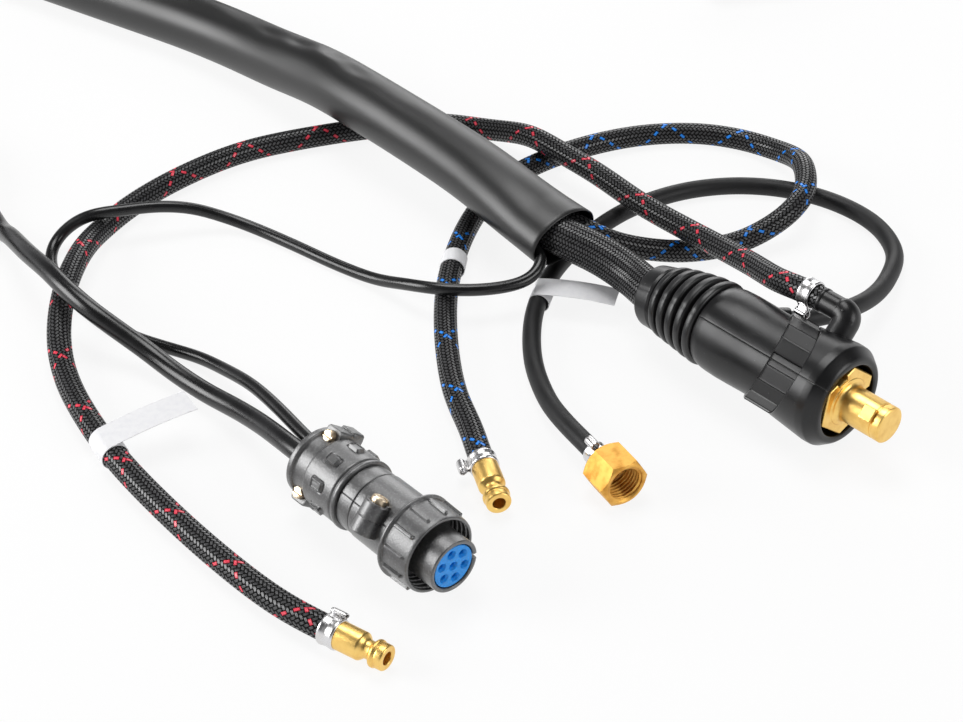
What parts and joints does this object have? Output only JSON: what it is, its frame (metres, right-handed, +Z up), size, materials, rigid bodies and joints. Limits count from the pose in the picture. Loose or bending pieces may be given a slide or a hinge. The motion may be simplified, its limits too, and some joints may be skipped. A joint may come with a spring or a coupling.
{
  "type": "water-cooled welding torch with lead",
  "caption": "Water-cooled welding torch lead with a brass pin power plug, water and gas hoses, a control plug, a cover sleeve and a torch head on a hand grip.",
  "frame": {"origin": "middle of the front face of the brass hexagon, the seat of the contact pin", "axes": "+X along the contact pin, outwards; +Z up, square to the surface that the lead lies on"},
  "size_m": [0.7188, 0.5112, 0.0496],
  "materials": {
    "housing_rubber": "satin moulded black",
    "boot_rubber": "satin black rubber",
    "brass": "turned, bright",
    "steel": "bright pressed steel",
    "braid": "black braid with coloured tracers",
    "hose_rubber": "smooth black hose",
    "label": "white tape",
    "plug_plastic": "dark grey, fine texture",
    "insert_blue": "bright blue",
    "zinc_yellow": "yellow zinc plated",
    "sleeve": "satin black cover sleeve",
    "handle_plastic": "fine texture",
    "button_red": "satin",
    "copper": "copper, bright",
    "tungsten": "ground",
    "insulator": "off white",
    "ceramic": "pink ceramic, dull"
  },
  "bodies": {
    "lead": {"plug_housing": "housing_rubber", "plug_boot": "boot_rubber", "power_pin": "brass", "power_ferrule": "brass", "power_cable": "braid", "water_elbow": "housing_rubber", "elbow_clamp": "steel", "water_out_hose": "braid", "water_out_clamp": "steel", "water_out_nipple": "brass", "water_out_label": "label", "water_in_hose": "braid", "water_in_clamp": "steel", "water_in_nipple": "brass", "water_in_label": "label", "gas_hose": "hose_rubber", "gas_clamp": "steel", "gas_tail": "brass", "gas_label": "label", "switch_lead": "hose_rubber", "remote_lead": "hose_rubber", "remote_coil": "hose_rubber", "remote_socket": "plug_plastic", "remote_insert": "insert_blue", "plug_barrel": "plug_plastic", "plug_insert": "insert_blue", "plug_contacts": "brass", "plug_shell": "plug_plastic", "plug_back": "plug_plastic", "plug_saddle": "plug_plastic", "saddle_screws": "zinc_yellow", "shell_screw": "zinc_yellow", "cover_sleeve": "sleeve", "cover_coil": "sleeve", "cover_tail": "sleeve", "handle_gland": "boot_rubber", "handle_left": "handle_plastic", "handle_right": "handle_plastic", "handle_screws": "steel", "inlet_block": "brass", "micro_switch": "handle_plastic", "head_cover": "boot_rubber", "head_core": "brass", "head_insulator": "insulator", "collet_body": "copper", "collet": "copper", "nozzle": "ceramic"},
    "gas_nut": {"gas_nut": "brass"},
    "plug_ring": {"plug_ring": "plug_plastic"},
    "switch_button": {"switch_button": "button_red"},
    "cap_seal": {"cap_seal": "boot_rubber"},
    "back_cap": {"back_cap": "handle_plastic"},
    "tungsten": {"tungsten": "tungsten"}
  },
  "joints": [
    {"name": "nut_swivel", "type": "hinge", "parent": "lead", "child": "gas_nut", "pos_m": [-0.03405, -0.07365, -0.01075], "axis": [0.9744, -0.225, 0], "continuous": true},
    {"name": "ring_turn", "type": "hinge", "parent": "lead", "child": "plug_ring", "pos_m": [-0.0453, -0.14716, -0.0031], "axis": [0.9997, -0.0227, 0], "continuous": true},
    {"name": "button_press", "type": "slide", "parent": "lead", "child": "switch_button", "axis": [0, 1, 0], "range_m": [0, 0.0015], "stiffness_N_per_m": 400, "springref_m": -0.001},
    {"name": "cap_travel", "type": "slide", "parent": "lead", "child": "cap_seal", "axis": [-0.342, -0.9397, 0], "range_m": [0, 0.004]},
    {"name": "cap_turn", "type": "hinge", "parent": "cap_seal", "child": "back_cap", "pos_m": [-0.23201, 0.23547, -0.0025], "axis": [-0.342, -0.9397, 0], "range_deg": [0, 1445]},
    {"name": "tungsten_feed", "type": "slide", "parent": "lead", "child": "tungsten", "axis": [0.342, 0.9397, 0], "range_m": [-0.0015, 0.01]}
  ],
  "couplings": [
    {"joint": "cap_turn", "follows": "cap_travel", "rad_per_m": 6283.2}
  ]
}
